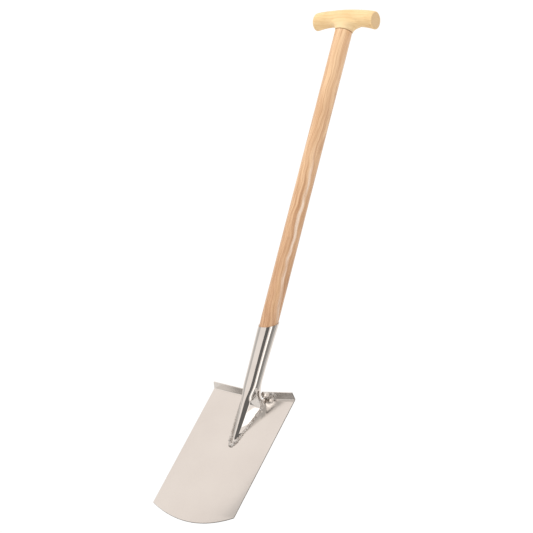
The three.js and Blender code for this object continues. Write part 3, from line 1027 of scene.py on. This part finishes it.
def ash_grain(s, plain, height):
    """The place on the shaft, turned round it so that what follows it wanders as the grain does."""
    along = s.place(scale=(0, 0, 1))
    drift = s.noise(along, scale=11, detail=2)
    wander = s.levels(drift, *NOISE_RANGE, -GRAIN_WANDER, GRAIN_WANDER)
    sweep = s.levels(height, SOCKET_RIM + SWEEP_HEIGHT, SOCKET_RIM, 0, GRAIN_SWEEP)
    twist = s.node("ShaderNodeVectorRotate", rotation_type="AXIS_ANGLE")
    s.link(plain, twist.inputs["Vector"])
    s.link(s.math("ADD", wander, sweep), twist.inputs["Angle"])
    return twist.outputs["Vector"]


def ash_wood():
    """Varnished ash: long streaks that wander round the shaft, a painted varnish highlight in pale
    streaks, brown stains.
    """
    s = Surface("ash_wood")
    plain = s.place(shift=tuple(-ORIGIN))
    height = s.axes(plain)[2]
    grown = ash_grain(s, plain, height)

    def streaks(scale, stretch, detail=3):
        mapping = s.node("ShaderNodeMapping")
        mapping.inputs["Scale"].default_value = (1, 1, stretch)
        s.link(grown, mapping.inputs["Vector"])
        return s.noise(mapping.outputs["Vector"], scale, detail=detail, roughness=0.55)

    def side(azimuth, width):
        """One at an azimuth on the shaft, falling to zero at so many degrees beside it."""
        x, y = s.axes(grown)[:2]
        a = math.radians(azimuth)
        across = s.math("MULTIPLY", x, math.sin(a) / SHAFT_RADIUS)
        ahead = s.math("MULTIPLY", y, -math.cos(a) / SHAFT_RADIUS)
        return s.levels(s.math("ADD", across, ahead), math.cos(math.radians(width)), 1)

    def patch(place, pattern, *levels):
        """A pattern that shows on one side of the shaft only."""
        return s.math("MULTIPLY", side(*place), s.levels(pattern, *levels))

    down = s.levels(height, SHOULDER_HEIGHT, SOCKET_RIM)
    low_half = s.levels(down, 0.4, 0.55)
    broad = s.ramp(streaks(scale=75, stretch=0.06, detail=2), ASH_TONES)
    fibres = streaks(scale=420, stretch=0.02, detail=5)
    fine = s.mix(s.levels(fibres, 0.4, 0.68, 0, 0.9), broad, ASH_STREAK)
    vein = patch(VEIN_SIDE, streaks(scale=260, stretch=0.03), 0.42, 0.6, 0, 0.36)
    veined = s.mix(s.math("MULTIPLY", vein, low_half), fine, ASH_VEIN)
    # Painted varnish highlight on the right of the lower half, broken into pale streaks.
    painted_highlight = patch(PAINTED_HIGHLIGHT_SIDE, streaks(scale=190, stretch=0.12, detail=4), 0.38, 0.58, 0.25, 1)
    highlighted = s.mix(s.math("MULTIPLY", painted_highlight, low_half), veined, ASH_PAINTED_HIGHLIGHT)
    stain = patch(STAIN_SIDE, streaks(scale=70, stretch=0.35), 0.48, 0.64, 0, 0.6)
    stained = s.mix(stain, highlighted, ASH_STAIN)
    pores = s.levels(streaks(scale=1500, stretch=0.02), 0.58, 0.74, 0, 0.35)
    pored = s.mix(pores, stained, ASH_PORE)
    lower = s.mix(1.0, pored, ASH_LOWER_TINT, blend="MULTIPLY")
    colour = s.mix(s.levels(down, 0.1, 1, 0, 0.9), pored, lower)
    s.shader.inputs["Coat Weight"].default_value = VARNISH
    s.shader.inputs["Coat Roughness"].default_value = VARNISH_ROUGHNESS
    roughness = s.levels(broad, *NOISE_RANGE, *ASH_ROUGHNESS)
    return s.finish(colour, roughness, s.bump(fibres, strength=0.08, distance=0.4 * MM))


def year_rings(s):
    """The tree's year rings, which run along the arms."""
    where = s.place(scale=(0.05, 1, 1), turn=(0.2, 0.03, 0.02), shift=(0, 20 * MM, -20 * MM))
    rings = s.node("ShaderNodeTexWave", wave_type="RINGS", rings_direction="X", wave_profile="SAW")
    rings.inputs["Scale"].default_value = 46
    rings.inputs["Distortion"].default_value = 3.4
    rings.inputs["Detail"].default_value = 3
    s.link(where, rings.inputs["Vector"])
    return rings.outputs["Fac"]


def boss_light_and_joint_shade(s, bare):
    """Painted light on the lower boss, and a dark line of painted shade where it stands on the shaft,
    laid over the bare wood.
    """
    across, _, height = s.axes(s.place())
    joint = ORIGIN.z + SHOULDER_HEIGHT
    near_middle = s.levels(s.math("ABSOLUTE", across), *BOSS_PAINTED_LIGHT_WIDTH)
    lit_top, lit_low = (joint + up for up in BOSS_PAINTED_LIGHT_HEIGHT)
    # Painted light that lightens the lower boss.
    boss = s.math("MULTIPLY", near_middle, s.levels(height, lit_top, lit_low, 0, BOSS_PAINTED_LIGHT))
    lit_boss = s.mix(boss, bare, GRIP_BOSS_PAINTED_LIGHT)
    # Painted shade in the gap at the foot of the boss.
    shade_low, shade_top = (joint + up for up in JOINT_SHADE_HEIGHT)
    return s.mix(s.levels(height, shade_low, shade_top, JOINT_SHADE, 0), lit_boss, GRIP_JOINT_PAINTED_SHADE)


def grip_wood():
    """Sanded pale wood with its grain along the arms and darker end faces."""
    s = Surface("grip_wood")
    bands = s.ramp(year_rings(s), GRIP_TONES)
    streaks = s.noise(s.place(scale=(0.06, 1, 1), turn=(0, 0.15, 0)), scale=380, detail=5)
    toned = s.mix(s.levels(streaks, 0.45, 0.72, 0, 0.5), bands, GRIP_STREAK)
    patches = s.noise(s.place(), scale=55, detail=4)
    worn = s.mix(s.levels(patches, 0.45, 0.7, 0, 0.5), toned, GRIP_WORN)
    geometry = s.node("ShaderNodeNewGeometry")
    facing = s.math("ABSOLUTE", s.axes(geometry.outputs["Normal"])[0])
    speckle = s.noise(s.place(), scale=900, detail=3)
    end_grain = s.mix(s.levels(speckle, *NOISE_MIDDLE), *GRIP_END_TONES)
    colour = boss_light_and_joint_shade(s, s.mix(s.levels(facing, 0.8, 0.97), worn, end_grain))
    roughness = s.levels(streaks, *NOISE_RANGE, *GRIP_ROUGHNESS)
    pitted = s.bump(speckle, strength=0.05, distance=0.2 * MM)
    return s.finish(colour, roughness, s.bump(streaks, strength=0.1, distance=0.4 * MM, under=pitted))


# ---- stage -----------------------------------------------------------------------------------

CARD_DISTANCE = 1.7
CARD_CELL = 6

# Each card: degrees to the right of the camera, degrees above the horizon, degrees wide,
# degrees tall, brightness. A card is made of cells about CARD_CELL degrees wide.
CARDS = {
    "dark_card": (4, 13, 38, 36, 0.14),
    "light_strip": (43.5, 13, 11, 44, 1.6),
    "grey_card": (71, 13, 34, 40, 0.27),
    "side_card": (104, 13, 30, 40, 0.5),
    "left_card": (-106, 13, 40, 30, 0.56),
    "top_card": (-4, 47, 90, 28, 0.5),
}
CARD_TINT = (1, 0.95, 0.9, 1)

# Each card on the floor: its middle and its width along X, in metres, and its brightness.
FLOOR_CARDS = {"floor_card_left": (-0.56, 0.64, 0.78), "floor_card_right": (-0.02, 0.44, 0.36)}
FLOOR_CARD_DEPTH = 0.8
FLOOR_CARD_MIDDLE = -0.3
FLOOR_CARD_LIFT = 0.2 * MM

FLOOR_HALF_SIZE = 14
FLOOR_DROP = 0.5 * MM
FLOOR_COLOUR = (0.86, 0.85, 0.84, 1)
FLOOR_ROUGHNESS = 0.9
FADE_START = 0.5
FADE_END = 5

# Each lamp: degrees to the right of the blade's front, degrees above the horizon, metres away,
# metres wide, watts.
LAMPS = {"key": (-20, 45, 2.6, 1.4, 26), "fill": (110, 20, 3.0, 1.6, 4)}
LAMP_AIM_HEIGHT = 0.4

ROOM_LIGHT = ((1, 0.995, 0.985, 1), 0.92)
ROOM_MIRRORED = ((0.91, 0.84, 0.785, 1), 1)
ROOM_BACKDROP = ((1, 1, 1, 1), 1.05)


def hide_from_all_but_reflections(card, level):
    """Makes a card glow and shows it in reflections only."""
    material = bpy.data.materials.new(card.name)
    material.use_nodes = True
    tree = material.node_tree
    tree.nodes.remove(tree.nodes["Principled BSDF"])
    glow = tree.nodes.new("ShaderNodeEmission")
    glow.inputs["Color"].default_value = CARD_TINT
    glow.inputs["Strength"].default_value = level
    tree.links.new(glow.outputs["Emission"], tree.nodes["Material Output"].inputs["Surface"])
    card.data.materials.append(material)
    card.visible_camera = False
    card.visible_diffuse = False
    card.visible_shadow = False


def make_card(name, azimuth, elevation, across, up, level):
    """A card that only shows in reflections, facing the object."""
    bm = bmesh.new()
    columns = max(1, round(across / CARD_CELL))
    rows = max(1, round(up / CARD_CELL))

    def corner(i, j):
        a = math.radians(azimuth + across * (i / columns - 0.5)) + CAMERA_AZIMUTH
        e = math.radians(elevation + up * (j / rows - 0.5))
        return ORIGIN + CARD_DISTANCE * direction(a, e)

    grid = [[bm.verts.new(corner(i, j)) for j in range(rows + 1)] for i in range(columns + 1)]
    for i in range(columns):
        for j in range(rows):
            bm.faces.new([grid[i][j], grid[i + 1][j], grid[i + 1][j + 1], grid[i][j + 1]])
    card = add_mesh(name, bm)
    hide_from_all_but_reflections(card, level)


def make_floor_card(name, middle, width, level):
    """A low card in front of the blade, which only the treads and the lower edge reflect."""
    bm = bmesh.new()
    bmesh.ops.create_grid(bm, x_segments=1, y_segments=1, size=0.5)
    card = add_mesh(name, bm)
    card.scale = (width, FLOOR_CARD_DEPTH, 1)
    card.location = (middle, FLOOR_CARD_MIDDLE, CAD_LOW.z + FLOOR_CARD_LIFT)
    hide_from_all_but_reflections(card, level)


def fade_to_backdrop(tree, shader):
    """To the camera, the floor turns as white as the backdrop with its distance from the object."""
    place = tree.nodes.new("ShaderNodeTexCoord")
    away = tree.nodes.new("ShaderNodeVectorMath")
    away.operation = "LENGTH"
    tree.links.new(place.outputs["Object"], away.inputs[0])
    far = tree.nodes.new("ShaderNodeMapRange")
    far.interpolation_type = "SMOOTHSTEP"
    far.inputs["From Min"].default_value = FADE_START
    far.inputs["From Max"].default_value = FADE_END
    tree.links.new(away.outputs["Value"], far.inputs["Value"])
    path = tree.nodes.new("ShaderNodeLightPath")
    seen = tree.nodes.new("ShaderNodeMath")
    seen.operation = "MULTIPLY"
    tree.links.new(far.outputs["Result"], seen.inputs[0])
    tree.links.new(path.outputs["Is Camera Ray"], seen.inputs[1])
    white = tree.nodes.new("ShaderNodeEmission")
    faded = tree.nodes.new("ShaderNodeMixShader")
    tree.links.new(seen.outputs["Value"], faded.inputs["Fac"])
    tree.links.new(shader.outputs["BSDF"], faded.inputs[1])
    tree.links.new(white.outputs["Emission"], faded.inputs[2])
    return faded.outputs["Shader"]


def make_floor():
    """A pale floor under the cutting edge. It is see-through from below, where the camera stands."""
    bm = bmesh.new()
    bmesh.ops.create_grid(bm, x_segments=1, y_segments=1, size=FLOOR_HALF_SIZE)
    floor = add_mesh("floor", bm)
    floor.location = (0, 0, CAD_LOW.z - FLOOR_DROP)
    material = bpy.data.materials.new("floor")
    material.use_nodes = True
    tree = material.node_tree
    shader = tree.nodes["Principled BSDF"]
    shader.inputs["Base Color"].default_value = FLOOR_COLOUR
    shader.inputs["Roughness"].default_value = FLOOR_ROUGHNESS
    faded = fade_to_backdrop(tree, shader)
    side = tree.nodes.new("ShaderNodeNewGeometry")
    clear = tree.nodes.new("ShaderNodeBsdfTransparent")
    mix = tree.nodes.new("ShaderNodeMixShader")
    tree.links.new(side.outputs["Backfacing"], mix.inputs["Fac"])
    tree.links.new(faded, mix.inputs[1])
    tree.links.new(clear.outputs["BSDF"], mix.inputs[2])
    tree.links.new(mix.outputs["Shader"], tree.nodes["Material Output"].inputs["Surface"])
    floor.data.materials.append(material)


def make_lamp(name, azimuth, elevation, distance, size, power):
    """A square lamp that faces the object and doesn't show in its reflections."""
    data = bpy.data.lights.new(name, "AREA")
    data.shape = "SQUARE"
    data.size = size
    data.energy = power
    light = bpy.data.objects.new(name, data)
    back = direction(math.radians(azimuth), math.radians(elevation))
    light.location = ORIGIN + Vector((0, 0, LAMP_AIM_HEIGHT)) + back * distance
    light.rotation_mode = "QUATERNION"
    light.rotation_quaternion = back.to_track_quat("Z", "Y")
    light.visible_glossy = False
    bpy.context.scene.collection.objects.link(light)


def make_world():
    """White behind the object, warm beige in its reflections and soft white for its light."""
    world = bpy.data.worlds.new("studio")
    bpy.context.scene.world = world
    world.use_nodes = True
    tree = world.node_tree
    light = tree.nodes["Background"]
    backdrop = tree.nodes.new("ShaderNodeBackground")
    mirrored = tree.nodes.new("ShaderNodeBackground")
    shades = ((light, ROOM_LIGHT), (backdrop, ROOM_BACKDROP), (mirrored, ROOM_MIRRORED))
    for node, (colour, strength) in shades:
        node.inputs["Color"].default_value = colour
        node.inputs["Strength"].default_value = strength
    path = tree.nodes.new("ShaderNodeLightPath")
    glossy = tree.nodes.new("ShaderNodeMixShader")
    tree.links.new(path.outputs["Is Glossy Ray"], glossy.inputs["Fac"])
    tree.links.new(light.outputs["Background"], glossy.inputs[1])
    tree.links.new(mirrored.outputs["Background"], glossy.inputs[2])
    seen = tree.nodes.new("ShaderNodeMixShader")
    tree.links.new(path.outputs["Is Camera Ray"], seen.inputs["Fac"])
    tree.links.new(glossy.outputs["Shader"], seen.inputs[1])
    tree.links.new(backdrop.outputs["Background"], seen.inputs[2])
    tree.links.new(seen.outputs["Shader"], tree.nodes["World Output"].inputs["Surface"])


def make_stage():
    make_world()
    make_floor()
    for name, values in CARDS.items():
        make_card(name, *values)
    for name, values in FLOOR_CARDS.items():
        make_floor_card(name, *values)
    for name, values in LAMPS.items():
        make_lamp(name, *values)
    bpy.context.scene.view_settings.view_transform = "Standard"


# ---- assembly --------------------------------------------------------------------------------

def dress(piece, material):
    """Gives a piece its material and the body it rides on."""
    piece.data.materials.clear()
    piece.data.materials.append(material)
    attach(piece, "root")


make_camera()
make_stage()
tongue_steel = weld_steel("tongue_weld_steel", TONGUE_WELD_TONES)
# The tread beads' colour holds painted shade.
tread_steel_and_shade = weld_steel("tread_weld_steel_and_shade", TREAD_WELD_TONES_AND_SHADE)
fastener = fastener_steel()
dress(make_blade(), blade_steel())
dress(make_socket(), socket_steel())
dress(make_tongue_weld(), tongue_steel)
dress(make_tread_weld(-1, "tread_bead_left", "tread_weld_left"), tread_steel_and_shade)
dress(make_tread_weld(1, "tread_bead_right", "tread_weld_right"), tread_steel_and_shade)
dress(make_shaft(), ash_wood())
dress(make_grip(), grip_wood())
dress(make_screw(), fastener)
dress(make_pin(), fastener)
